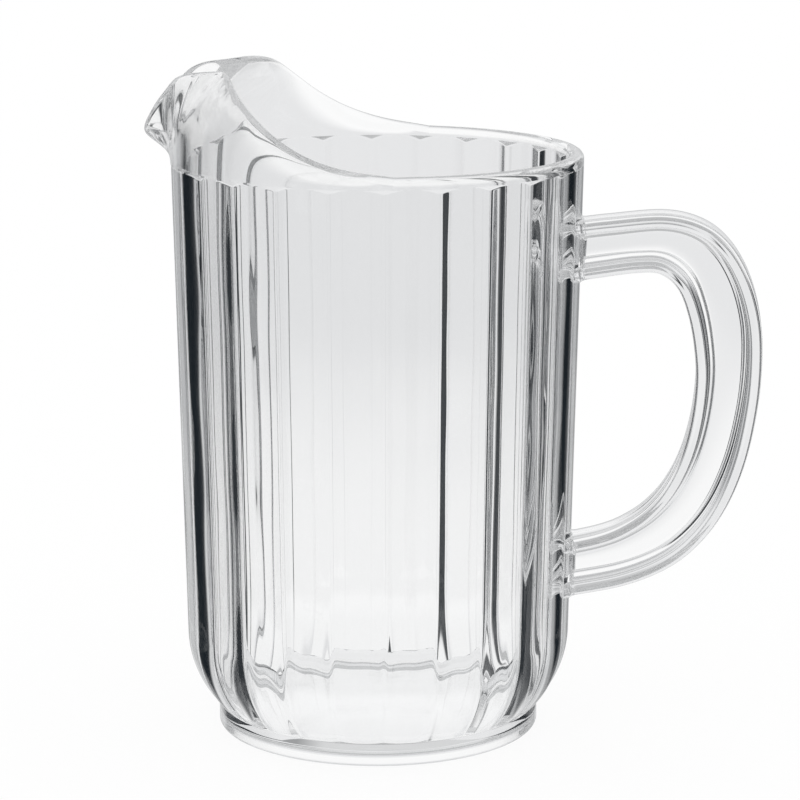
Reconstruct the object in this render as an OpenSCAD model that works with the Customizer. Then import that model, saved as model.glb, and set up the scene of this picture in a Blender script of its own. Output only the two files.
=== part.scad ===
// Clear moulded beer pitcher: fluted wall, hooded pouring collar, foot and I-section handle.
// The axis of the jug is Z, it stands on the plane z = 0, the handle points along +X and the spout along -X.

/* [Wall] */
// Outer radius of the collar and of the flute crests just below it
collar_r = 66.2; // [56:0.1:80]
// Height of the seam where the flutes end and the plain collar starts
wall_top = 186.1; // [178:0.1:230]
// How far the crests draw in from the collar down to the shoulder
wall_draft = 3.4; // [1:0.1:8]
// How far the shoulder draws in further, down to the foot ring
shoulder_in = 10.2; // [6:0.1:16]
// Height of the top of the shoulder
shoulder_top = 33; // [25:0.5:40]
// Number of flutes around the wall
flute_count = 24; // [12:2:36]
// Depth of the grooves between the flutes
flute_depth = 1.4; // [0.8:0.1:2.4]
// Wall thickness behind a groove
wall_t = 3.3; // [1.4:0.1:3.8]

/* [Foot] */
// Height of the foot ring
foot_h = 7.7; // [6.5:0.1:12]
// Rounding of the foot ring's lower edge
foot_round = 1.4; // [0.4:0.1:2]
// How far the floor's upper face lies below the top of the foot ring
floor_drop = 1.5; // [0.3:0.1:2.6]
// Thickness of the floor
floor_t = 3; // [1.8:0.1:3.6]

/* [Rim and spout] */
// Height of the low rim on the handle side above the seam
rim_rise = 3.7; // [2.6:0.1:6]
// Height of the hood's highest edge above the low rim
hood_rise = 27.8; // [15:0.1:35]
// How far the hood leans in from the collar's radius
hood_lean = 13.3; // [5:0.1:16]
// How far the beak's flare reaches out from the collar's radius
beak_reach = 9.6; // [3:0.1:12]
// Height of the beak's underside above the seam
beak_rise = 7.6; // [5:0.1:12]
// Thickness of the hood at its edge
edge_t = 2.4; // [1.6:0.1:3.2]
// Half of the angle that the hooded collar covers, from the spout
collar_half_angle = 100; // [90:1:110]

/* [Handle] */
// How far the handle reaches out from the collar's radius
handle_reach = 57.8; // [46:0.1:74]
// Distance from the seam down to the highest point of the handle
handle_drop = 15.3; // [10:0.1:24]
// Height of the handle, down to where its lower end meets the wall
handle_h = 125.2; // [100:0.1:134]
// Width of the two rails
rail_w = 16; // [10:0.5:26]
// Thickness of the two rails
rail_t = 4.2; // [2.5:0.1:5]
// Thickness of the web between the rails
web_t = 3.2; // [2:0.1:5]

/* [Hidden] */
clear = [0.87, 0.89, 0.90];
$fn = 96;

// Wall: facets across one flute, rows on the shoulder, rows in the closed flute tops
flute_steps = 6;
shoulder_rows = 7;
top_rows = 4;
flute_angle = 360 / flute_count;

// A flute is an arc in plan: half its chord, its height over the chord and its radius
groove_r = collar_r - flute_depth;
chord_half = groove_r * sin(flute_angle / 2);
chord_rise = collar_r - groove_r * cos(flute_angle / 2);
flute_r = (chord_half * chord_half + chord_rise * chord_rise) / (2 * chord_rise);
flute_axis_r = collar_r - flute_r;
// Height at which the grooves run out below the collar, on a 45 degree slope
flute_end = wall_top - flute_depth;

// The shoulder is an arc from the waist down to the foot ring
waist_r = collar_r - wall_draft;
foot_r = waist_r - shoulder_in;
shoulder_down = shoulder_top - foot_h;
shoulder_r = (shoulder_down * shoulder_down + shoulder_in * shoulder_in) / (2 * shoulder_in);

// Distance across a flute, from its crest at 0 to the grooves at half a flute's angle
function across(a) = abs(a - flute_angle * round(a / flute_angle));
// Outline of the flutes in plan, at the collar's size
function flute_plan(a) =
    let (b = across(a), side = flute_axis_r * sin(b))
    flute_axis_r * cos(b) + sqrt(flute_r * flute_r - side * side);
// Radius of the crests at a height
function crest(z) =
    z >= shoulder_top
    ? waist_r + wall_draft * (z - shoulder_top) / (wall_top - shoulder_top)
    : waist_r - shoulder_r + sqrt(shoulder_r * shoulder_r - (shoulder_top - z) * (shoulder_top - z));
// Outer radius of the wall: the flutes, closed at the top by the slope up to the collar
function outer(a, z) = max(crest(z) * flute_plan(a) / collar_r, collar_r - (wall_top - z));
// Inner radius of the wall, which is smooth
function inner(z) = crest(z) * groove_r / collar_r - wall_t;

// Smooth value at x through stations [[x, value], ...], where a value may be a vector
function last_before(s, x) = max([for (i = [0 : len(s) - 2]) if (i == 0 || s[i][0] <= x) i]);
function slope(s, i) =
    let (a = max(i - 1, 0), b = min(i + 1, len(s) - 1))
    (s[b][1] - s[a][1]) / (s[b][0] - s[a][0]);
function through(s, x) =
    let (
        i = last_before(s, x),
        w = s[i + 1][0] - s[i][0],
        t = (x - s[i][0]) / w,
        rest = 1 - t
    )
    s[i][1] * (1 + 2 * t) * rest * rest
    + slope(s, i) * w * t * rest * rest
    + s[i + 1][1] * t * t * (3 - 2 * t)
    - slope(s, i + 1) * w * t * t * rest;

// Side faces of a run of closed sections with m points each, from section i on to section n
function side_faces(i, n, m) =
    [for (j = [0 : m - 1])
        let (k = (j + 1) % m)
        each [[i * m + j, n * m + k, i * m + k], [i * m + j, n * m + j, n * m + k]]];
// Faces of a tube of sections, with both ends capped
function tube_faces(rings, m) = concat(
    [for (i = [0 : rings - 2]) each side_faces(i, i + 1, m)],
    [[for (j = [0 : m - 1]) j]],
    [[for (j = [m - 1 : -1 : 0]) (rings - 1) * m + j]]);
// Faces of a ring of sections that closes on itself
function loop_faces(rings, m) = [for (i = [0 : rings - 1]) each side_faces(i, (i + 1) % rings, m)];
// Triangles that zip up one section, from its first and last points to its middle
function zip_faces(m) =
    [for (i = [0 : floor((m - 3) / 2)])
        let (far = m - 1 - i)
        each i + 2 < far ? [[i, i + 1, far], [i + 1, far - 1, far]] : [[i, i + 1, far]]];

// Fluted wall: one closed section, swept round the axis
wall_rows = concat(
    [for (i = [0 : shoulder_rows]) foot_h + shoulder_down * i / shoulder_rows],
    [for (i = [0 : top_rows]) flute_end + flute_depth * i / top_rows]);
wall_columns = flute_count * flute_steps;
inner_rows = [for (i = [0 : shoulder_rows]) wall_rows[i]];

function wall_section(a) = concat(
    [for (z = wall_rows) [outer(a, z) * cos(a), outer(a, z) * sin(a), z]],
    [[inner(wall_top) * cos(a), inner(wall_top) * sin(a), wall_top]],
    [for (i = [shoulder_rows : -1 : 0])
        let (z = inner_rows[i])
        [inner(z) * cos(a), inner(z) * sin(a), z]]);

module fluted_wall() {
    sections = [for (i = [0 : wall_columns - 1]) wall_section(-i * 360 / wall_columns)];
    color(clear)
        polyhedron([for (s = sections) each s], loop_faces(wall_columns, len(sections[0])), convexity = 6);
}

// Hooded collar: the rim's height over the low rim and its lean, as shares of the hood's rise and lean,
// at shares of the half angle from the spout
rim_height_shares = [[0, 0.18], [0.03, 0.36], [0.07, 0.635], [0.12, 0.84], [0.18, 0.955], [0.26, 1],
                     [0.38, 0.97], [0.47, 0.905], [0.53, 0.81], [0.585, 0.66], [0.67, 0.41], [0.76, 0.215],
                     [0.86, 0.085], [1, 0]];
rim_lean_shares = [[0, 0], [0.08, 0.03], [0.13, 0.12], [0.17, 0.36], [0.21, 0.78], [0.255, 1], [0.33, 0.93],
                   [0.41, 0.69], [0.48, 0.39], [0.54, 0.14], [0.6, 0.02], [0.66, 0], [1, 0]];
// The beak fades over this half angle; its underside flares out and then turns up within a soft share
rim_top = wall_top + rim_rise;
beak_half_angle = 7;
beak_power = 1.6;
beak_soft_share = 0.35;
lean_power = 3;
collar_columns = 32;
collar_crowding = 1.5;
collar_rows = 9;
edge_steps = 4;

function fade(a) = exp(-a * a / (beak_half_angle * beak_half_angle));
// The smaller of a value and 1, rounded off where they cross
function soft_min(v) = (v + 1 - sqrt((v - 1) * (v - 1) + beak_soft_share * beak_soft_share)) / 2;
function flare(rise) = soft_min(pow(rise / beak_rise, beak_power)) - soft_min(0);
function rim_z(a) = rim_top - edge_t / 2 + hood_rise * through(rim_height_shares, a / collar_half_angle);
function rim_lean(a) = hood_lean * through(rim_lean_shares, a / collar_half_angle);
// Outer line of the collar at half angle a, from the seam at t = 0 to the edge at t = 1
function collar_z(a, t) = wall_top + (rim_z(a) - wall_top) * t;
function collar_out(a, t) =
    collar_r + beak_reach * fade(a) * flare(collar_z(a, t) - wall_top) - rim_lean(a) * pow(t, lean_power);
function collar_point(a, t) = [collar_out(a, t), collar_z(a, t)];
// Unit direction along that line, and the thickness, which thins from the wall to the edge
along_share = 0.01;
function unit(v) = v / norm(v);
function collar_dir(a, t) =
    unit(collar_point(a, min(1, t + along_share)) - collar_point(a, max(0, t - along_share)));
base_t = collar_r - inner(wall_top);
function collar_t(t) = base_t + (edge_t - base_t) * t;
function collar_in(a, t) =
    let (d = collar_dir(a, t))
    t == 0 ? [collar_r - base_t, wall_top] : collar_point(a, t) + collar_t(t) * [-d[1], d[0]];
// The edge is rounded between the outer and the inner line
function collar_edge(a, s) =
    let (d = collar_dir(a, 1), side = [d[1], -d[0]], mid = collar_point(a, 1) - side * edge_t / 2)
    mid + (side * cos(s) + d * sin(s)) * edge_t / 2;
function collar_section(a) = concat(
    [for (i = [0 : collar_rows]) collar_point(a, i / collar_rows)],
    [for (i = [1 : edge_steps - 1]) collar_edge(a, 180 * i / edge_steps)],
    [for (i = [collar_rows : -1 : 0]) collar_in(a, i / collar_rows)]);
// Columns lie closer together at the beak
function collar_angle(i) = sign(i) * collar_half_angle * pow(abs(i) / collar_columns, collar_crowding);

module pour_collar() {
    sections = [for (i = [collar_columns : -1 : -collar_columns])
        let (a = collar_angle(i))
        [for (p = collar_section(abs(a))) [-p[0] * cos(a), -p[0] * sin(a), p[1]]]];
    m = len(sections[0]);
    last = len(sections) - 1;
    sides = [for (i = [0 : last - 1]) each side_faces(i, i + 1, m)];
    near_end = zip_faces(m);
    far_end = [for (f = near_end) [for (j = [2, 1, 0]) last * m + f[j]]];
    color(clear)
        polyhedron([for (s = sections) each s], concat(sides, near_end, far_end), convexity = 6);
}

// Low rim on the handle half, with a fully rounded top
bead_r = base_t / 2;

module rim_bead() {
    bead_angle = 180 - collar_half_angle;
    color(clear)
        rotate(-bead_angle)
        rotate_extrude(angle = 2 * bead_angle) {
            translate([collar_r - base_t, wall_top])
                square([base_t, rim_top - bead_r - wall_top]);
            intersection() {
                translate([collar_r - bead_r, rim_top - bead_r])
                    circle(bead_r);
                translate([collar_r - base_t, wall_top])
                    square([base_t, rim_top - wall_top]);
            }
        }
}

// Foot ring, coved inside from the wall down to the floor
cove_r = floor_drop;
floor_r = inner(foot_h) - cove_r;
floor_top = foot_h - floor_drop;
arc_steps = 6;

// Points of an arc in the section, between two angles
function arc(centre, r, from, to) =
    [for (i = [0 : arc_steps])
        let (a = from + (to - from) * i / arc_steps)
        centre + r * [cos(a), sin(a)]];

module foot_ring() {
    color(clear)
        rotate_extrude()
        polygon(concat(
            [[floor_r, 0]],
            arc([foot_r - foot_round, foot_round], foot_round, -90, 0),
            [[foot_r, foot_h]],
            arc([floor_r, foot_h], cove_r, 0, -90)));
}

module floor_plate() {
    color(clear)
        translate([0, 0, floor_top - floor_t])
        cylinder(r = floor_r, h = floor_t);
}

// Handle: the outer and inner lines of the grip in the plane of symmetry. Each station is
// [share of the reach from the collar's radius, share of the height from the foot of the handle].
handle_foot = wall_top - handle_drop - handle_h;
grip_outer_shares = [[-0.1, 0.975], [0.15, 0.988], [0.45, 1], [0.66, 0.978], [0.81, 0.925], [0.92, 0.84],
                     [0.985, 0.735], [1, 0.625], [0.98, 0.5], [0.92, 0.36], [0.82, 0.24], [0.68, 0.145],
                     [0.5, 0.075], [0.25, 0.025], [-0.1, -0.01]];
grip_inner_shares = [[-0.1, 0.822], [0.12, 0.838], [0.3, 0.85], [0.43, 0.848], [0.53, 0.81], [0.59, 0.74],
                     [0.625, 0.655], [0.635, 0.57], [0.61, 0.465], [0.555, 0.37], [0.47, 0.29], [0.36, 0.23],
                     [0.23, 0.188], [0.1, 0.163], [-0.1, 0.14]];
grip_steps = 3;

function grip_place(share) = [collar_r + handle_reach * share[0], handle_foot + handle_h * share[1]];
// Points of a line through the stations, and of its parallel at a distance to its right
function grip_line(shares) =
    let (stations = [for (i = [0 : len(shares) - 1]) [i, grip_place(shares[i])]])
    [for (i = [0 : (len(shares) - 1) * grip_steps]) through(stations, i / grip_steps)];
function run_dir(line, i) = unit(line[min(i + 1, len(line) - 1)] - line[max(i - 1, 0)]);
function parallel(line, d) =
    [for (i = [0 : len(line) - 1]) let (u = run_dir(line, i)) line[i] + d * [u[1], -u[0]]];

outer_line = grip_line(grip_outer_shares);
inner_line = grip_line(grip_inner_shares);
rail_round_share = 0.4;
rail_round = rail_t * rail_round_share;
round_steps = 2;

// Rounded section of a rail, as [across its thickness, across its width]
function rail_section() =
    [for (corner = [[1, 1], [-1, 1], [-1, -1], [1, -1]], i = [0 : round_steps])
        let (
            turn = corner[0] * corner[1] > 0 ? i : round_steps - i,
            s = 90 * turn / round_steps
        )
        [corner[0] * (rail_t / 2 - rail_round + rail_round * cos(s)),
         corner[1] * (rail_w / 2 - rail_round + rail_round * sin(s))]];

// Rail swept along the middle of its thickness
module rail(line) {
    rings = [for (i = [0 : len(line) - 1])
        let (u = run_dir(line, i))
        [for (p = rail_section()) [line[i][0] + p[0] * u[1], p[1], line[i][1] - p[0] * u[0]]]];
    polyhedron([for (r = rings) each r], tube_faces(len(rings), len(rings[0])), convexity = 6);
}

// The stretch of wall that the handle meets, filled to the axis
module handle_seat() {
    half = flute_angle;
    steps = 2 * flute_steps;
    plan = [for (i = [0 : steps]) -half + 2 * half * i / steps];
    points = [for (z = [shoulder_top, flute_end]) each concat(
        [[0, 0, z]],
        [for (a = plan) [outer(a, z) * cos(a), outer(a, z) * sin(a), z]])];
    polyhedron(points, tube_faces(2, len(plan) + 1), convexity = 2);
}

module handle_outer_rail() {
    color(clear)
        difference() {
            rail(parallel(outer_line, rail_t / 2));
            handle_seat();
        }
}

module handle_inner_rail() {
    color(clear)
        difference() {
            rail(parallel(inner_line, -rail_t / 2));
            handle_seat();
        }
}

module handle_web() {
    top = parallel(outer_line, rail_t);
    low = parallel(inner_line, -rail_t);
    outline = concat(top, [for (i = [len(low) - 1 : -1 : 0]) low[i]]);
    color(clear)
        difference() {
            rotate([90, 0, 0])
                linear_extrude(web_t, center = true)
                polygon(outline);
            handle_seat();
        }
}

fluted_wall();
pour_collar();
rim_bead();
foot_ring();
floor_plate();
handle_outer_rail();
handle_inner_rail();
handle_web();
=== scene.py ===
import math

import bmesh
import bpy
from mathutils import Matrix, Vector
from mathutils.bvhtree import BVHTree


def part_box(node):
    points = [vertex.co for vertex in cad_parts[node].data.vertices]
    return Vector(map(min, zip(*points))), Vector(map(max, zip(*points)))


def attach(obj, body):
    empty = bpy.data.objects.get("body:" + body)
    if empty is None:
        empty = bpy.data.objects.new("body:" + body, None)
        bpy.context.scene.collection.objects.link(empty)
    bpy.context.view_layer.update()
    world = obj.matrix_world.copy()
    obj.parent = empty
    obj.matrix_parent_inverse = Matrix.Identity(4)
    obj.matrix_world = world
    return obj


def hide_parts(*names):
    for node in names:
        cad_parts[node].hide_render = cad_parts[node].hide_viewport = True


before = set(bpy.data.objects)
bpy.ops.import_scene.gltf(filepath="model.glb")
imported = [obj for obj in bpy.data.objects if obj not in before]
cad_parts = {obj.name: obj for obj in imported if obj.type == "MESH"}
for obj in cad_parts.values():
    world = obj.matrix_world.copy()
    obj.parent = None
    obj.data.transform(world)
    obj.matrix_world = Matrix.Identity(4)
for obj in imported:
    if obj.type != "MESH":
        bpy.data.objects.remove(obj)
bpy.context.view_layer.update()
scene = bpy.context.scene
scene.view_settings.view_transform = "Standard"

# Camera
# A long lens, turned a little towards the handle side and looking down on the rim.
view_target = Vector((0.0073, 0, 0.1078))
view_azimuth = math.radians(5.31)
view_elevation = math.radians(12.15)
view_distance = 1.0216
view_lens = 141.18
to_camera = Vector((
    math.sin(view_azimuth) * math.cos(view_elevation),
    -math.cos(view_azimuth) * math.cos(view_elevation),
    math.sin(view_elevation)))
camera = bpy.data.objects.new("camera", bpy.data.cameras.new("camera"))
camera.data.lens = view_lens
camera.location = view_target + view_distance * to_camera
camera.rotation_euler = to_camera.to_track_quat("Z", "Y").to_euler()
scene.collection.objects.link(camera)
scene.camera = camera

# Studio
# A pale sweep in a dim room. Clear plastic shows nothing but its surroundings, so two dark flags stand beside
# the sweep and draw its edges, and what mirrors inside the plastic is the dimmer side of the room. The camera
# itself sees plain white.
light_bounces = 128
scene.cycles.max_bounces = light_bounces
scene.cycles.transmission_bounces = light_bounces
scene.cycles.glossy_bounces = light_bounces
scene.cycles.transparent_max_bounces = light_bounces
white = (1, 1, 1, 1)
black = (0, 0, 0, 1)
dark = (0.012, 0.016, 0.020, 1)
dim = (0.34, 0.345, 0.35, 1)
half_lit = (0.7, 0.705, 0.71, 1)
sweep_grey = (0.842, 0.845, 0.853, 1)
shade = (0.5, 0.505, 0.51, 1)
# Heights over the horizon in degrees: the sweep's tones, and how much white covers the flags and the room.
sweep_stops = (
    (-76, shade), (-52, sweep_grey), (-34, white), (-14.5, white),
    (-10, sweep_grey), (20, sweep_grey), (32, shade))
lit_stops = ((-43, white), (-31, black), (2, black), (9, white))
# Compass directions in degrees at which each tone of the flags and of the room starts.
flag_starts = ((-180, white), (-62, dark), (-40.1, white), (11.9, dark), (26, white))
room_starts = ((-180, dim), (-102, dark), (-40.1, half_lit), (13, dim), (32, dark), (66, dim))
flag_soft = 1
room_soft = 4
world = bpy.data.worlds.new("studio")
scene.world = world
world.use_nodes = True
sky = world.node_tree


def add(tree, kind, *values, **settings):
    """A new node with its settings, and its inputs linked or set in order. Gives its first output."""
    node = tree.nodes.new(kind)
    for setting, value in settings.items():
        setattr(node, setting, value)
    for slot, value in zip(node.inputs, values):
        if isinstance(value, bpy.types.NodeSocket):
            tree.links.new(value, slot)
        else:
            slot.default_value = value
    return node.outputs[0]


def round_room(compass_share, starts, soft):
    """Tones by compass direction, each from its own start in degrees, with soft edges between them."""
    ramp = sky.nodes.new("ShaderNodeValToRGB")
    stops = ramp.color_ramp.elements
    stops[0].color = starts[0][1]
    stops[1].color = starts[-1][1]
    for (_, before), (edge, after) in zip(starts, starts[1:]):
        stops.new((edge - soft) / 360 + 0.5).color = before
        stops.new((edge + soft) / 360 + 0.5).color = after
    sky.links.new(compass_share, ramp.inputs["Fac"])
    return ramp.outputs["Color"]


def by_height(height_share, stops):
    """Tones by height over the horizon, with soft steps between the heights given in degrees."""
    ramp = sky.nodes.new("ShaderNodeValToRGB")
    ramp.color_ramp.interpolation = "EASE"
    ends = ramp.color_ramp.elements
    ends[0].color = stops[0][1]
    ends[1].color = stops[-1][1]
    for height, tone in stops:
        ends.new(math.sin(math.radians(height)) / 2 + 0.5).color = tone
    sky.links.new(height_share, ramp.inputs["Fac"])
    return ramp.outputs["Color"]


light_path = sky.nodes.new("ShaderNodeLightPath").outputs
heading = sky.nodes.new("ShaderNodeSeparateXYZ")
sky.links.new(sky.nodes.new("ShaderNodeTexCoord").outputs["Generated"], heading.inputs[0])
compass = add(sky, "ShaderNodeMath", heading.outputs["X"], heading.outputs["Y"], operation="ARCTAN2")
compass_share = add(sky, "ShaderNodeMapRange", compass, -math.pi, math.pi)
height_share = add(sky, "ShaderNodeMapRange", heading.outputs["Z"], -1, 1)
sweep = by_height(height_share, sweep_stops)
flags = round_room(compass_share, flag_starts, flag_soft)
room = round_room(compass_share, room_starts, room_soft)
sides = add(sky, "ShaderNodeMixRGB", light_path["Glossy Depth"], flags, room)
all_round = add(sky, "ShaderNodeMixRGB", by_height(height_share, lit_stops), sides, white)
surroundings = add(sky, "ShaderNodeMixRGB", 1, all_round, sweep, blend_type="MULTIPLY")
by_plastic = add(
    sky, "ShaderNodeMath", light_path["Is Transmission Ray"], light_path["Is Glossy Ray"],
    operation="MAXIMUM")
seen = add(sky, "ShaderNodeMixRGB", by_plastic, white, surroundings)
sky.links.new(seen, sky.nodes["Background"].inputs["Color"])

# Clear plastic
# Hard, glossy, injection moulded plastic, with the faint waves that it sets in as it flows up the mould.
# Where two members of the moulding meet there is no surface in the real one, so the faces that touch are a
# bond that light passes straight through.
plastic_tint = (0.997, 0.999, 1, 1)
plastic_ior = 1.545
flow_waves_per_metre = 45
flow_stretch = 0.7
wall_flow_h = 0.0006
plain_flow_h = 0.00006


def clear_plastic(name, flow_height):
    """Clear moulding plastic whose skin waves by a height in metres."""
    plastic = bpy.data.materials.new(name)
    plastic.use_nodes = True
    nodes = plastic.node_tree
    shader = nodes.nodes["Principled BSDF"]
    shader.inputs["Base Color"].default_value = plastic_tint
    shader.inputs["Roughness"].default_value = 0
    shader.inputs["IOR"].default_value = plastic_ior
    shader.inputs["Transmission Weight"].default_value = 1
    place = nodes.nodes.new("ShaderNodeTexCoord").outputs["Object"]
    drawn_up = add(nodes, "ShaderNodeMapping", place, (0, 0, 0), (0, 0, 0), (1, 1, flow_stretch))
    waves = nodes.nodes.new("ShaderNodeTexNoise")
    waves.inputs["Scale"].default_value = flow_waves_per_metre
    waves.inputs["Detail"].default_value = 0
    nodes.links.new(drawn_up, waves.inputs["Vector"])
    ripple = nodes.nodes.new("ShaderNodeBump")
    ripple.inputs["Distance"].default_value = flow_height
    nodes.links.new(waves.outputs["Fac"], ripple.inputs["Height"])
    nodes.links.new(ripple.outputs["Normal"], shader.inputs["Normal"])
    return plastic


wall_plastic = clear_plastic("clear_plastic_wall", wall_flow_h)
plastic = clear_plastic("clear_plastic", plain_flow_h)
bond = bpy.data.materials.new("bond")
bond.use_nodes = True
bond.node_tree.nodes.remove(bond.node_tree.nodes["Principled BSDF"])
clear_pass = add(bond.node_tree, "ShaderNodeBsdfTransparent")
bond.node_tree.links.new(clear_pass, bond.node_tree.nodes["Material Output"].inputs["Surface"])

# Fluted wall
# The drafted side wall of the jug, moulded in clear plastic with convex flutes outside and a plain bore
# inside. The flutes close under the collar on a short slope and follow the rounded shoulder down to the foot.
wall_low, wall_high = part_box("fluted_wall")
collar_r, wall_top, foot_h = wall_high.x, wall_high.z, wall_low.z
foot_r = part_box("foot_ring")[1].x
waist_r = 0.0628
shoulder_top = 0.033
flute_count = 24
flute_depth = 0.0014
flute_power = 2.72
wall_t = 0.0033
groove_round = math.radians(0.83)
flute_end_h = 0.0015
flute_end_soft = 0.0004
columns_per_flute = 30
shoulder_rows = 24
side_rows = 24
flute_end_rows = 24
bore_rows = 12
sharp_angle = math.radians(32)
weld = 1e-6


class Formula:
    """A number in a node tree, so that a shape's rule reads as arithmetic."""

    def __init__(self, tree, socket):
        self.tree, self.socket = tree, socket

    def math(self, operation, *others):
        node = self.tree.nodes.new("ShaderNodeMath")
        node.operation = operation
        for slot, value in zip(node.inputs, (self, *others)):
            if isinstance(value, Formula):
                self.tree.links.new(value.socket, slot)
            else:
                slot.default_value = value
        return Formula(self.tree, node.outputs[0])

    def __add__(self, other):
        return self.math("ADD", other)

    def __sub__(self, other):
        return self.math("SUBTRACT", other)

    def __mul__(self, other):
        return self.math("MULTIPLY", other)

    def __truediv__(self, other):
        return self.math("DIVIDE", other)

    __rmul__ = __mul__

    def squared(self):
        return self * self

    def root(self):
        return self.math("SQRT")


def new_tree(name, sizes):
    """A geometry node tree with a named input for each size, and a Formula for each of them."""
    tree = bpy.data.node_groups.new(name, "GeometryNodeTree")
    tree.interface.new_socket("Geometry", in_out="OUTPUT", socket_type="NodeSocketGeometry")
    for size, value in sizes.items():
        kind = "NodeSocketInt" if isinstance(value, int) else "NodeSocketFloat"
        tree.interface.new_socket(size, in_out="INPUT", socket_type=kind)
    inputs = tree.nodes.new("NodeGroupInput")
    return tree, {size: Formula(tree, inputs.outputs[size]) for size in sizes}


def finish_mesh(mesh):
    """Smooth shading that breaks only at true edges."""
    mesh.polygons.foreach_set("use_smooth", [True] * len(mesh.polygons))
    mesh.set_sharp_from_angle(angle=sharp_angle)


def grown(name, tree, sizes):
    """The plain mesh that a geometry node tree makes from its sizes, as an object of its own."""
    seed = bpy.data.objects.new(name, bpy.data.meshes.new(name))
    scene.collection.objects.link(seed)
    modifier = seed.modifiers.new(name, "NODES")
    modifier.node_group = tree
    for item in tree.interface.items_tree:
        if item.in_out == "INPUT" and item.name in sizes:
            modifier[item.identifier] = sizes[item.name]
    bpy.context.view_layer.update()
    mesh = bpy.data.meshes.new_from_object(seed.evaluated_get(bpy.context.evaluated_depsgraph_get()))
    seed.modifiers.clear()
    seed.data = mesh
    finish_mesh(mesh)
    return seed


def settle(piece, *nodes):
    """The piece stands for its CAD nodes, on the part's one body."""
    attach(piece, "root")
    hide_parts(*nodes)


wall_sizes = {
    "Collar radius": collar_r, "Waist radius": waist_r, "Foot radius": foot_r,
    "Wall top": wall_top, "Shoulder top": shoulder_top, "Foot height": foot_h,
    "Flutes": flute_count, "Flute depth": flute_depth, "Flute power": flute_power,
    "Groove rounding": groove_round, "Flute end height": flute_end_h, "Flute end rounding": flute_end_soft,
    "Wall thickness": wall_t, "Columns per flute": columns_per_flute,
}
tree, size = new_tree("fluted wall", wall_sizes)
joined = tree.nodes.new("GeometryNodeJoinGeometry")
half_flute = math.pi * size["Flutes"].math("POWER", -1)
groove_r = size["Collar radius"] - size["Flute depth"]
shoulder_in = size["Waist radius"] - size["Foot radius"]
shoulder_down = size["Shoulder top"] - size["Foot height"]
shoulder_r = (shoulder_down.squared() + shoulder_in.squared()) / (2 * shoulder_in)
flute_end = size["Wall top"] - size["Flute end height"]
end_slope = size["Flute depth"] / size["Flute end height"]


def crest_at(z):
    """Radius of the crests: the draft of the wall, and the arc of the shoulder below it."""
    up = (z - size["Shoulder top"]).math("MAXIMUM", 0)
    down = (size["Shoulder top"] - z).math("MAXIMUM", 0)
    draft = (size["Collar radius"] - size["Waist radius"]) / (size["Wall top"] - size["Shoulder top"])
    return size["Waist radius"] + draft * up - shoulder_r + (shoulder_r.squared() - down.squared()).root()


def outside_at(angle, z):
    """Radius of the flutes: flat at the crest, falling by a power to rounded grooves, closed at the top."""
    across = (angle / half_flute / 2).math("PINGPONG", 0.5) * half_flute * 2
    to_groove = half_flute - across
    rounded = half_flute - (to_groove.squared() + size["Groove rounding"].squared()).root()
    out_share = (rounded / (half_flute - size["Groove rounding"])).math("MAXIMUM", 0)
    fall = out_share.math("POWER", size["Flute power"])
    plan = size["Collar radius"] - size["Flute depth"] * fall
    run_out = groove_r + end_slope * (z - flute_end)
    crest = crest_at(z)
    draft = crest / size["Collar radius"]
    outer = (draft * plan).math("SMOOTH_MAX", draft * run_out, size["Flute end rounding"])
    return outer.math("MINIMUM", crest)


def bore_at(angle, z):
    """Radius of the bore, which is plain all round."""
    return crest_at(z) * groove_r / size["Collar radius"] - size["Wall thickness"]


def wall_patch(rows, material, low, high, low_skin, high_skin):
    """A band of one skin round the axis between two heights, or a flat ring between both at one height."""
    grid = tree.nodes.new("GeometryNodeMeshGrid")
    grid.inputs["Size X"].default_value = 1
    grid.inputs["Size Y"].default_value = 1
    columns = size["Flutes"] * size["Columns per flute"] + 1
    tree.links.new(columns.socket, grid.inputs["Vertices X"])
    grid.inputs["Vertices Y"].default_value = rows + 1
    place = tree.nodes.new("GeometryNodeInputPosition")
    apart = tree.nodes.new("ShaderNodeSeparateXYZ")
    tree.links.new(place.outputs[0], apart.inputs[0])
    angle = (Formula(tree, apart.outputs[0]) + 0.5) * (2 * math.pi)
    share = Formula(tree, apart.outputs[1]) + 0.5
    z = low + (high - low) * share
    start = low_skin(angle, z)
    end = high_skin(angle, z)
    r = start + (end - start) * share
    point = tree.nodes.new("ShaderNodeCombineXYZ")
    for slot, value in zip(point.inputs, (r * angle.math("COSINE"), r * angle.math("SINE"), z)):
        tree.links.new(value.socket, slot)
    move = tree.nodes.new("GeometryNodeSetPosition")
    tree.links.new(grid.outputs["Mesh"], move.inputs["Geometry"])
    tree.links.new(point.outputs[0], move.inputs["Position"])
    paint = tree.nodes.new("GeometryNodeSetMaterial")
    paint.inputs["Material"].default_value = material
    tree.links.new(move.outputs[0], paint.inputs["Geometry"])
    last = paint.outputs[0]
    if low_skin == high_skin == bore_at:
        flip = tree.nodes.new("GeometryNodeFlipFaces")
        tree.links.new(last, flip.inputs[0])
        last = flip.outputs[0]
    tree.links.new(last, joined.inputs[0])


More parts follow.
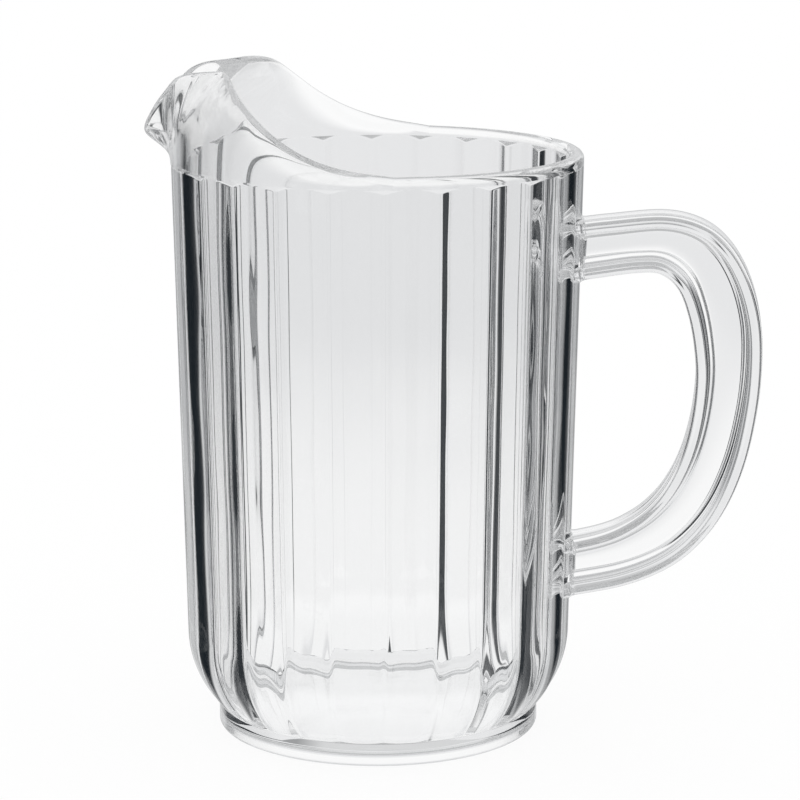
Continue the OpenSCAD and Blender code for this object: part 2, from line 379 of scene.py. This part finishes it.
end_start = flute_end - size["Flute end height"] / 2
foot_line = size["Foot height"]
shoulder_line = size["Shoulder top"]
seam_line = size["Wall top"]
wall_patch(shoulder_rows, wall_plastic, foot_line, shoulder_line, outside_at, outside_at)
wall_patch(side_rows, wall_plastic, shoulder_line, end_start, outside_at, outside_at)
wall_patch(flute_end_rows, wall_plastic, end_start, seam_line, outside_at, outside_at)
wall_patch(1, bond, seam_line, seam_line, outside_at, bore_at)
wall_patch(bore_rows, wall_plastic, shoulder_line, seam_line, bore_at, bore_at)
wall_patch(shoulder_rows, wall_plastic, foot_line, shoulder_line, bore_at, bore_at)
wall_patch(1, bond, foot_line, foot_line, bore_at, outside_at)
merge = tree.nodes.new("GeometryNodeMergeByDistance")
merge.inputs["Distance"].default_value = weld
realize = tree.nodes.new("GeometryNodeRealizeInstances")
output = tree.nodes.new("NodeGroupOutput")
tree.links.new(joined.outputs[0], merge.inputs["Geometry"])
tree.links.new(merge.outputs[0], realize.inputs[0])
tree.links.new(realize.outputs[0], output.inputs[0])
wall = grown("wall", tree, wall_sizes)
settle(wall, "fluted_wall")

# Foot ring
# The plain ring that the jug stands on, moulded on under the shoulder and rounded below. Inside it carries
# the slope of the wall down to the floor. The flutes end on it, and it shows between them as small ledges.
foot_round = 0.0014
floor_round = 0.0001
under_round = 0.0014
arc_steps = 8
floor_low, floor_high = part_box("floor_plate")
floor_r, floor_top, floor_under = floor_high.x, floor_high.z, floor_low.z
floor_seat = floor_under - under_round
SURFACE, BOND = 0, 1


def moulded(name, patches, skin=plastic):
    """One closed mesh from patches that join at their edges: rows of points and a material slot each."""
    bm = bmesh.new()
    for rows, slot in patches:
        grid = [[bm.verts.new(p) for p in row] for row in rows]
        for lower, upper in zip(grid, grid[1:]):
            for i in range(len(lower) - 1):
                face = bm.faces.new((lower[i], lower[i + 1], upper[i + 1], upper[i]))
                face.material_index = slot
    bmesh.ops.remove_doubles(bm, verts=bm.verts, dist=weld)
    bmesh.ops.dissolve_degenerate(bm, edges=bm.edges, dist=weld)
    bmesh.ops.recalc_face_normals(bm, faces=bm.faces)
    mesh = bpy.data.meshes.new(name)
    bm.to_mesh(mesh)
    bm.free()
    mesh.materials.append(skin)
    mesh.materials.append(bond)
    finish_mesh(mesh)
    piece = bpy.data.objects.new(name, mesh)
    scene.collection.objects.link(piece)
    return piece


def around(section, angles):
    """Rows of points: a section of (radius, height) pairs turned to each angle."""
    return [[(r * math.cos(a), r * math.sin(a), z) for a in angles] for r, z in section]


def bore_r(z):
    """Inner radius of the wall's mesh at the height of one of its rows."""
    return min(v.co.xy.length for v in wall.data.vertices if abs(v.co.z - z) < weld)


row_h = (shoulder_top - foot_h) / shoulder_rows
slope_r = bore_r(foot_h)
next_r = bore_r(foot_h + row_h)
outline = sorted(
    (math.atan2(v.co.y, v.co.x) % (2 * math.pi), v.co.xy.length)
    for v in wall.data.vertices
    if v.co.z < foot_h + weld and v.co.xy.length > (slope_r + foot_r) / 2)
turn = [a for a, r in outline] + [outline[0][0] + 2 * math.pi]
edge = [r for a, r in outline] + [outline[0][1]]


def arc(r, z, radius, start, end):
    """Points (radius, height) on an arc of the section, between two angles in degrees."""
    steps = [math.radians(start + (end - start) * i / arc_steps) for i in range(arc_steps + 1)]
    return [(r + radius * math.cos(a), z + radius * math.sin(a)) for a in steps]


ledge = [[(r * math.cos(a), r * math.sin(a), foot_h) for a, r in zip(turn, edge)]]
foot_side = arc(foot_r - foot_round, foot_round, foot_round, -90, 0) + [(foot_r, foot_h)]
slope_in = slope_r - floor_r
slope_up = foot_h - floor_top - floor_round
slope = math.atan2(slope_up, slope_in) + math.asin(floor_round / math.hypot(slope_in, slope_up))
floor_corner = arc(floor_r, floor_top + floor_round, floor_round, -90, math.degrees(slope) - 90)
# From the floor's corner the slope bends up until it runs on into the wall.
low = Vector(floor_corner[-1])
high = Vector((slope_r, foot_h))
middle = high - (high.y - low.y) / 2 * Vector(((next_r - slope_r) / row_h, 1))
bend_shares = [i / arc_steps for i in range(1, arc_steps + 1)]
foot_inside = floor_corner + [
    tuple(low * (1 - t) ** 2 + middle * (2 * t * (1 - t)) + high * t ** 2) for t in bend_shares]
foot_ring = moulded("foot", [
    (around([(floor_r, 0)] + foot_side, turn), SURFACE),
    (around([(foot_r, foot_h)], turn) + ledge, SURFACE),
    (ledge + around([(slope_r, foot_h)], turn), BOND),
    (around(foot_inside, turn), SURFACE),
    (around([(floor_r, floor_top), (floor_r, floor_seat)], turn), BOND),
    (around([(floor_r, floor_seat), (floor_r, 0)], turn), SURFACE),
], wall_plastic)
settle(foot_ring, "foot_ring")

# Floor plate
# The jug's floor, a flat disc of the same moulding inside the foot ring. It lies a little above the table,
# and below it meets the ring in a rounded corner.
floor_rings = 12
under_r = floor_r - under_round
floor_shares = [i / floor_rings for i in range(floor_rings + 1)]
under_corner = arc(under_r, floor_seat, under_round, 90, 0)
floor = moulded("floor", [
    (around([(floor_r * share, floor_top) for share in floor_shares], turn), SURFACE),
    (around([(floor_r, floor_top), (floor_r, floor_seat)], turn), BOND),
    (around([(under_r * share, floor_under) for share in floor_shares] + under_corner, turn), SURFACE),
], wall_plastic)
settle(floor, "floor_plate")

# Rim bead
# The low rim on the handle half, moulded on top of the wall with a fully rounded edge. On each side it runs
# on into the pouring collar, whose edge is as thick there.
rim_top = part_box("rim_bead")[1].z
inner_top_r = bore_r(wall_top)
base_t = collar_r - inner_top_r
bead_r = base_t / 2
collar_half_angle = math.radians(100)
bead_half_angle = math.pi - collar_half_angle
bead_columns = 160
bead_turn = [bead_half_angle * (2 * i / bead_columns - 1) for i in range(bead_columns + 1)]
bead_top = arc(collar_r - bead_r, rim_top - bead_r, bead_r, 0, 180)
bead_section = [(collar_r, wall_top)] + bead_top + [(inner_top_r, wall_top)]


def end_face(section, a):
    """Rows that close a section of an odd number of points at its end: one half against the other."""
    points = [(r * math.cos(a), r * math.sin(a), z) for r, z in section]
    middle = len(points) // 2
    return [points[:middle + 1], points[:middle - 1:-1]]


bead = moulded("rim_bead_skin", [
    (around(bead_section, bead_turn), SURFACE),
    (around([bead_section[-1], bead_section[0]], bead_turn), BOND),
    (end_face(bead_section, bead_turn[0]), BOND),
    (end_face(bead_section, bead_turn[-1]), BOND),
])
settle(bead, "rim_bead")

# Pouring collar
# The plain band moulded on above the flutes on the spout half, thinner towards its rounded edge. It rises
# to a hood that leans in over the mouth on both sides, and between them it turns out to a small beak that
# cuts the stream.
hood_rise = 0.0278
hood_lean = 0.0133
beak_reach = 0.0096
beak_rise = 0.0076
edge_t = 0.0024
rim_height_shares = (
    (0, 0.18), (0.03, 0.36), (0.07, 0.635), (0.12, 0.84), (0.18, 0.955), (0.26, 1), (0.38, 0.97),
    (0.47, 0.905), (0.53, 0.81), (0.585, 0.66), (0.67, 0.41), (0.76, 0.215), (0.86, 0.085), (1, 0))
rim_lean_shares = (
    (0, 0), (0.08, 0.03), (0.13, 0.12), (0.17, 0.36), (0.21, 0.78), (0.255, 1), (0.33, 0.93),
    (0.41, 0.69), (0.48, 0.39), (0.54, 0.14), (0.6, 0.02), (0.66, 0), (1, 0))
beak_half_angle = math.radians(7)
beak_power = 1.6
beak_soft_share = 0.35
lean_power = 3
collar_columns = 110
collar_crowding = 1.5
collar_rows = 36
edge_blend_share = 0.25
thin_power = 2
along_share = 0.01


def through(stations, x):
    """A smooth value at x through stations (x, value), where a value may be a vector."""
    last = max(i for i in range(len(stations) - 1) if i == 0 or stations[i][0] <= x)

    def slope(i):
        a, b = stations[max(i - 1, 0)], stations[min(i + 1, len(stations) - 1)]
        return (b[1] - a[1]) / (b[0] - a[0])

    (x0, v0), (x1, v1) = stations[last], stations[last + 1]
    w = x1 - x0
    t = (x - x0) / w
    rest = 1 - t
    return (v0 * ((1 + 2 * t) * rest * rest) + slope(last) * (w * t * rest * rest)
            + v1 * (t * t * (3 - 2 * t)) - slope(last + 1) * (w * t * t * rest))


def soft_min(value):
    """The smaller of a value and 1, rounded off where they cross."""
    return (value + 1 - math.hypot(value - 1, beak_soft_share)) / 2


def collar_section(a):
    """The collar at an angle from the spout: outer line, rounded edge and inner line, as (radius, height)."""
    share = a / collar_half_angle
    to_end = max(0, (share - 1 + edge_blend_share) / edge_blend_share)
    thin = edge_t + (base_t - edge_t) * to_end * to_end * (3 - 2 * to_end)
    top = rim_top - thin / 2 + hood_rise * through(rim_height_shares, share)
    lean = hood_lean * through(rim_lean_shares, share)
    reach = beak_reach * math.exp(-(a / beak_half_angle) ** 2)

    def outer(t):
        t = min(max(t, 0), 1)
        z = wall_top + (top - wall_top) * t
        flare = soft_min(((z - wall_top) / beak_rise) ** beak_power) - soft_min(0)
        return Vector((collar_r + reach * flare - lean * t ** lean_power, z))

    def along(t):
        return (outer(t + along_share) - outer(t - along_share)).normalized()

    ts = [i / collar_rows for i in range(collar_rows + 1)]
    out_line = [outer(t) for t in ts]
    end_dir = along(1)
    side = Vector((end_dir.y, -end_dir.x))
    middle = out_line[-1] - side * thin / 2
    turns = [math.pi * i / arc_steps for i in range(1, arc_steps)]
    edge_line = [middle + (side * math.cos(s) + end_dir * math.sin(s)) * thin / 2 for s in turns]
    in_line = [Vector((inner_top_r, wall_top))]
    for t in ts[1:]:
        d = along(t)
        in_line.append(outer(t) + (base_t + (thin - base_t) * t ** thin_power) * Vector((-d.y, d.x)))
    return out_line + edge_line + in_line[::-1]


collar_turn = [
    math.copysign(collar_half_angle * (abs(i) / collar_columns) ** collar_crowding, i)
    for i in range(-collar_columns, collar_columns + 1)]
collar_sections = [collar_section(abs(a)) for a in collar_turn]
collar_rings = [
    [(-r * math.cos(a), -r * math.sin(a), z) for r, z in section]
    for section, a in zip(collar_sections, collar_turn)]
collar = moulded("collar", [
    (collar_rings, SURFACE),
    ([[ring[-1], ring[0]] for ring in collar_rings], BOND),
    (end_face(collar_sections[0], collar_turn[0] + math.pi), BOND),
    (end_face(collar_sections[-1], collar_turn[-1] + math.pi), BOND),
])
settle(collar, "pour_collar")

# Handle
# An I-section grip of the same clear plastic, moulded onto the wall: a broad outer rail, a smaller loop of
# the same rail inside for the fingers, and a web between them with soft fillets.
handle_low, handle_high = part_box("handle_outer_rail")
handle_reach = handle_high.x - collar_r
handle_top = handle_high.z
handle_h = 0.1252
handle_foot = handle_top - handle_h
rail_w = handle_high.y - handle_low.y
rail_t = 0.0042
rail_round = 0.0017
web_t = 0.0032
web_fillet = 0.003
bond_half_w = web_t / 2 + web_fillet
root_fillet = 0.002
rail_root_share = 0.25
grip_outer_shares = (
    (-0.06, 0.975), (0.15, 0.988), (0.45, 1), (0.66, 0.978), (0.81, 0.925), (0.92, 0.84), (0.985, 0.735),
    (1, 0.625), (0.98, 0.5), (0.92, 0.36), (0.82, 0.24), (0.68, 0.145), (0.5, 0.075), (0.25, 0.025),
    (-0.1, -0.01))
grip_inner_shares = (
    (-0.06, 0.824), (0.12, 0.838), (0.3, 0.85), (0.43, 0.848), (0.53, 0.81), (0.59, 0.74), (0.625, 0.655),
    (0.635, 0.57), (0.61, 0.465), (0.555, 0.37), (0.47, 0.29), (0.36, 0.23), (0.23, 0.188), (0.1, 0.163),
    (-0.1, 0.14))
grip_steps = 16
root_steps = 64
fillet_steps = 8


def grip_line(shares):
    """Points (x, z) of a line of the grip through its stations, closer together at the wall."""
    stations = [
        (i, Vector((collar_r + handle_reach * out, handle_foot + handle_h * up)))
        for i, (out, up) in enumerate(shares)]
    ends = (0, len(shares) - 2)
    steps = [root_steps if i in ends else grip_steps for i in range(len(shares) - 1)]
    line = [through(stations, i + j / n) for i, n in enumerate(steps) for j in range(n)]
    return line + [stations[-1][1]]


def parallel(line, distance):
    """The line at a distance to the right of another one."""
    moved = []
    for i, p in enumerate(line):
        d = (line[min(i + 1, len(line) - 1)] - line[max(i - 1, 0)]).normalized()
        moved.append(p + distance * Vector((d.y, -d.x)))
    return moved


def swell(p):
    """How much the grip thickens at a point (x, z), to run into the wall in a fillet."""
    crest = waist_r + (collar_r - waist_r) * (p.y - shoulder_top) / (wall_top - shoulder_top)
    near = min(max(1 - (p.x - crest) / root_fillet, 0), 1)
    return root_fillet * (1 - math.sqrt(1 - near * near))


def rail_section(more):
    """Half of the rail's section, from its outer middle round to the web, as (out from the middle, y)."""
    flat = rail_t / 2 - rail_round
    wide = rail_w / 2 - rail_round + more
    outside = arc(wide, flat + more, rail_round, 90, 0)
    inside = arc(wide, -flat, rail_round, 0, -90)
    line = [(0, rail_t / 2 + more)] + outside + inside + [(bond_half_w, -rail_t / 2)]
    return [(out, y) for y, out in line]


def rail(name, line, web_side):
    """A rail swept along the middle of its thickness, with its bond to the web on one side."""
    rows = []
    for i, p in enumerate(line):
        half = rail_section(rail_root_share * swell(p))
        loop = half + [(c, -y) for c, y in reversed(half)]
        d = (line[min(i + 1, len(line) - 1)] - line[max(i - 1, 0)]).normalized() * web_side
        rows.append([(p.x - c * d.y, y, p.y + c * d.x) for c, y in loop])
    joint = len(half) - 1
    return moulded(name, [
        ([row[:joint + 1] for row in rows], SURFACE),
        ([row[joint:joint + 2] for row in rows], BOND),
        ([row[joint + 1:] for row in rows], SURFACE),
        ([rows[0][:joint + 1], rows[0][:joint:-1]], BOND),
        ([rows[-1][:joint + 1], rows[-1][:joint:-1]], BOND),
    ])


outer_line = grip_line(grip_outer_shares)
inner_line = grip_line(grip_inner_shares)
outer_rail = rail("outer_rail", parallel(outer_line, rail_t / 2), 1)
inner_rail = rail("inner_rail", parallel(inner_line, -rail_t / 2), -1)

web_top = parallel(outer_line, rail_t)
web_low = parallel(inner_line, -rail_t)
web_rows = []
for a, b in zip(web_top, web_low):
    span = (b - a).length
    fillet = [
        (web_fillet * (1 - math.cos(s)), web_t / 2 + web_fillet * (1 - math.sin(s)))
        for s in (math.pi / 2 * i / fillet_steps for i in range(fillet_steps + 1))]
    across = fillet + [(span - d, h) for d, h in reversed(fillet)]
    row = [(a.lerp(b, d / span), h) for d, h in across]
    web_rows.append([(p, min(h + swell(p), bond_half_w)) for p, h in row])
near = [[(p.x, -h, p.y) for p, h in row] for row in web_rows]
far = [[(p.x, h, p.y) for p, h in row] for row in web_rows]
web = moulded("web", [
    (near, SURFACE),
    (far, SURFACE),
    ([[n[0], f[0]] for n, f in zip(near, far)], BOND),
    ([[n[-1], f[-1]] for n, f in zip(near, far)], BOND),
    ([near[0], far[0]], BOND),
    ([near[-1], far[-1]], BOND),
])

# The handle's ends are cut to the flute that they are moulded onto, and the wall opens to them there.
seat_angle = math.radians(13)
seat_columns = 60
seat_rows = 30
seat_depth = 0.02
seat_sink = 0.00003
seat_margin = 0.006
wall_tree = BVHTree.FromObject(wall, bpy.context.evaluated_depsgraph_get())


def seat_skin(depth):
    """Points of the wall's outside around the handle, sunk by a depth."""
    rows = []
    for j in range(seat_rows + 1):
        z = handle_foot - seat_margin + (handle_h + 2 * seat_margin) * j / seat_rows
        row = []
        for i in range(seat_columns + 1):
            a = seat_angle * (2 * i / seat_columns - 1)
            outward = Vector((math.cos(a), math.sin(a), 0))
            skin = wall_tree.ray_cast(2 * collar_r * outward + Vector((0, 0, z)), -outward)[0]
            row.append(skin - depth * outward)
        rows.append(row)
    return rows


def free_skin(piece):
    """A copy of the piece without the faces that bond it to others."""
    bm = bmesh.new()
    bm.from_mesh(piece.data)
    bonded = [face for face in bm.faces if piece.data.materials[face.material_index] == bond]
    bmesh.ops.delete(bm, geom=bonded, context="FACES")
    skin = bpy.data.objects.new("skin", bpy.data.meshes.new("skin"))
    bm.to_mesh(skin.data)
    bm.free()
    scene.collection.objects.link(skin)
    return skin


def cut_by(piece, tool, skin):
    """The piece with the tool's shape taken out of it, and its shading taken from its uncut skin."""
    cut = piece.modifiers.new("cut", "BOOLEAN")
    cut.operation = "DIFFERENCE"
    cut.solver = "EXACT"
    cut.material_mode = "TRANSFER"
    cut.object = tool
    shading = piece.modifiers.new("shading", "DATA_TRANSFER")
    shading.object = skin
    shading.use_loop_data = True
    shading.data_types_loops = {"CUSTOM_NORMAL"}
    shading.loop_mapping = "POLYINTERP_NEAREST"
    bpy.context.view_layer.update()
    mesh = bpy.data.meshes.new_from_object(piece.evaluated_get(bpy.context.evaluated_depsgraph_get()))
    piece.modifiers.clear()
    piece.data = mesh


seat_out = seat_skin(seat_sink)
seat_in = seat_skin(seat_depth)
seat = moulded("seat", [
    (seat_out, BOND),
    (seat_in, BOND),
    ([seat_out[0], seat_in[0]], BOND),
    ([seat_out[-1], seat_in[-1]], BOND),
    ([[a[0] for a in seat_out], [b[0] for b in seat_in]], BOND),
    ([[a[-1] for a in seat_out], [b[-1] for b in seat_in]], BOND),
])
wall_skin = free_skin(wall)
for piece, node in (
        (outer_rail, "handle_outer_rail"), (inner_rail, "handle_inner_rail"), (web, "handle_web")):
    piece_skin = free_skin(piece)
    cut_by(piece, seat, piece_skin)
    cut_by(wall, piece, wall_skin)
    settle(piece, node)
    bpy.data.objects.remove(piece_skin)
bpy.data.objects.remove(wall_skin)
bpy.data.objects.remove(seat)

# Floor of the studio
# A broad white table top that keeps a faint shadow. Through the plastic the sweep shows in its place.
table_half = 3
table_glow = 0.93
corners = [(x * table_half, y * table_half, 0) for x, y in ((-1, -1), (1, -1), (1, 1), (-1, 1))]
table = bpy.data.meshes.new("table")
table.from_pydata(corners, [], [(0, 1, 2, 3)])
table_piece = bpy.data.objects.new("table", table)
scene.collection.objects.link(table_piece)
table_white = bpy.data.materials.new("table_white")
table_white.use_nodes = True
paint = table_white.node_tree
paint.nodes.remove(paint.nodes["Principled BSDF"])
matt = add(paint, "ShaderNodeBsdfDiffuse", white)
glow = add(paint, "ShaderNodeEmission", white, 1)
seen_white = add(paint, "ShaderNodeMixShader", table_glow, matt, glow)
path = paint.nodes.new("ShaderNodeLightPath").outputs
by_jug = add(
    paint, "ShaderNodeMath", path["Is Transmission Ray"], path["Is Glossy Ray"], operation="MAXIMUM")
unseen = add(paint, "ShaderNodeBsdfTransparent")
table_top = add(paint, "ShaderNodeMixShader", by_jug, seen_white, unseen)
paint.links.new(table_top, paint.nodes["Material Output"].inputs["Surface"])
table.materials.append(table_white)
